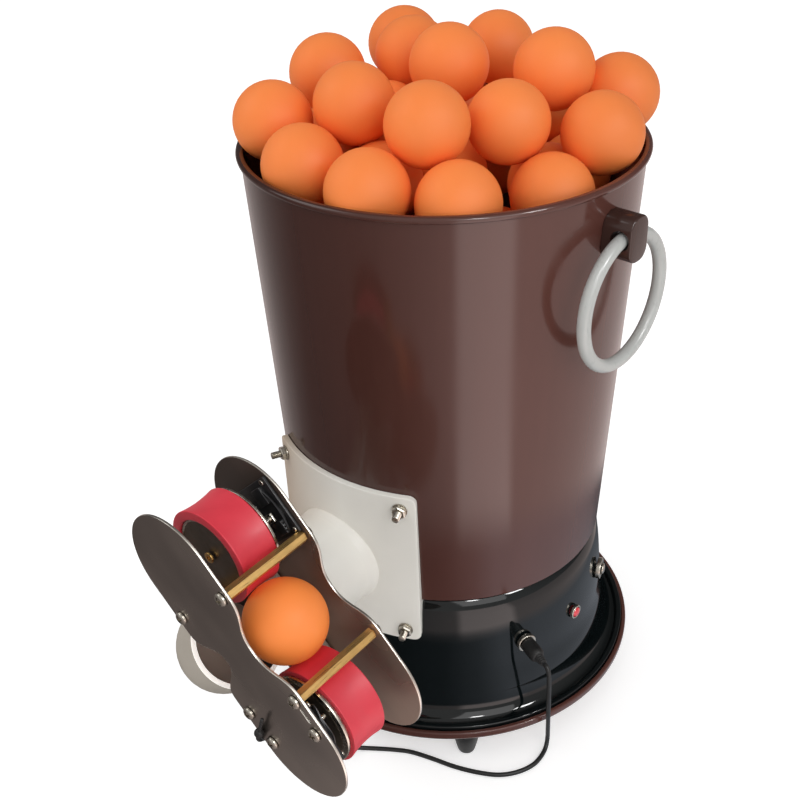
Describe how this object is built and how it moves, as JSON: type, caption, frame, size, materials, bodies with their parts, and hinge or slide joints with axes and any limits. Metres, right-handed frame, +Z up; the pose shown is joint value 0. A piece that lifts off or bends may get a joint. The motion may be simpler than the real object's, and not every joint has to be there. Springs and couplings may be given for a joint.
{
  "type": "table tennis robot",
  "caption": "Ball-serving machine: a bucket hopper of orange balls on a round black base, with a side outlet tube and a swivelling two-wheel throwing head.",
  "frame": {"origin": "centre of the bounding box's bottom face, on the floor under the feet, with the free lead and its plug left out", "axes": "+Z up along the hopper's axis, -Y along the outlet tube towards the head, +X to the side that the ball leaves on"},
  "size_m": [0.2328, 0.3242, 0.3839],
  "materials": {
    "brown": "gloss",
    "black": "high gloss",
    "rubber": "matte",
    "grey": "satin",
    "white": "printed, fine layer lines",
    "steel": "bright, lightly brushed",
    "zinc": "bright zinc plating",
    "brass": "satin",
    "drum": "dark, turned",
    "red": "satin silicone",
    "lens": "clear red",
    "orange": "matte",
    "green": "satin"
  },
  "bodies": {
    "base": {"saucer": "brown", "foot_1": "rubber", "foot_2": "rubber", "foot_3": "rubber", "foot_4": "rubber", "base_housing": "black", "hopper": "brown", "handle_lug_right": "brown", "handle_lug_left": "brown", "outlet_flange": "white", "flange_bolt_1": "zinc", "flange_bolt_2": "zinc", "flange_bolt_3": "zinc", "flange_bolt_4": "zinc", "power_socket_nut": "zinc", "lead_plug": "rubber", "lead": "rubber", "lamp_bezel": "zinc", "lamp_lens": "lens", "toggle_nut": "zinc", "feeder_motor": "steel", "control_board": "green"},
    "head": {"elbow": "white", "near_plate": "steel", "far_plate": "steel", "standoff_1": "brass", "standoff_2": "brass", "standoff_3": "brass", "standoff_4": "brass", "near_screw_1": "zinc", "near_screw_2": "zinc", "near_screw_3": "zinc", "near_screw_4": "zinc", "far_screw_1": "zinc", "far_screw_2": "zinc", "far_screw_3": "zinc", "far_screw_4": "zinc", "upper_wheel_motor_mount": "black", "upper_wheel_lead_clamp": "zinc", "lower_wheel_motor_mount": "black", "lower_wheel_lead_clamp": "zinc", "motor_screw_1": "zinc", "motor_screw_2": "zinc", "lead_grommet": "rubber"},
    "upper_wheel": {"upper_wheel_tyre": "red", "upper_wheel_drum": "drum", "upper_wheel_rim": "zinc", "upper_wheel_cap": "brass"},
    "lower_wheel": {"lower_wheel_tyre": "red", "lower_wheel_drum": "drum", "lower_wheel_rim": "zinc", "lower_wheel_cap": "brass"},
    "feeder": {"feeder_wheel": "white"},
    "toggle": {"toggle_lever": "zinc"},
    "ring_right": {"handle_ring_right": "grey"},
    "ring_left": {"handle_ring_left": "grey"},
    "fed_ball": {"head_ball": "orange"},
    "load": {"ball_load": "orange"},
    "loose_one": {"loose_ball_1": "orange"},
    "loose_two": {"loose_ball_2": "orange"}
  },
  "joints": [
    {"name": "head_swivel", "type": "hinge", "parent": "base", "child": "head", "pos_m": [0, -0.12762, 0.11504], "axis": [0, -0.9972, -0.075], "range_deg": [-43, 47], "deforming": ["lead"]},
    {"name": "upper_wheel_spin", "type": "hinge", "parent": "head", "child": "upper_wheel", "pos_m": [0.01788, -0.13334, 0.19114], "axis": [0, -0.9972, -0.075], "continuous": true},
    {"name": "lower_wheel_spin", "type": "hinge", "parent": "head", "child": "lower_wheel", "pos_m": [0.07733, -0.12858, 0.1278], "axis": [0, -0.9972, -0.075], "continuous": true},
    {"name": "feeder_spin", "type": "hinge", "parent": "base", "child": "feeder", "pos_m": [0, 0.04966, 0.1036], "axis": [0, 0, 1], "continuous": true},
    {"name": "toggle_rock", "type": "hinge", "parent": "base", "child": "toggle", "pos_m": [0.08689, 0.08477, 0.072], "axis": [0.3746, -0.9272, 0], "range_deg": [-12, 12]},
    {"name": "ring_right_swing", "type": "hinge", "parent": "base", "child": "ring_right", "pos_m": [0.1102, 0.04966, 0.3063], "axis": [0, -1, 0], "range_deg": [-5, 165]},
    {"name": "ring_left_swing", "type": "hinge", "parent": "base", "child": "ring_left", "pos_m": [-0.1102, 0.04966, 0.3063], "axis": [0, 1, 0], "range_deg": [-5, 165]},
    {"name": "head_ball_out", "type": "slide", "parent": "head", "child": "fed_ball", "axis": [0.7302, -0.0512, 0.6814], "range_m": [0, 0.06]},
    {"name": "load_lift", "type": "slide", "parent": "base", "child": "load", "axis": [0, 0, 1], "range_m": [0, 0.24]},
    {"name": "loose_ball_1_lift", "type": "slide", "parent": "load", "child": "loose_one", "axis": [0, 0, 1], "range_m": [0, 0.08]},
    {"name": "loose_ball_2_lift", "type": "slide", "parent": "load", "child": "loose_two", "axis": [0, 0, 1], "range_m": [0, 0.08]}
  ]
}
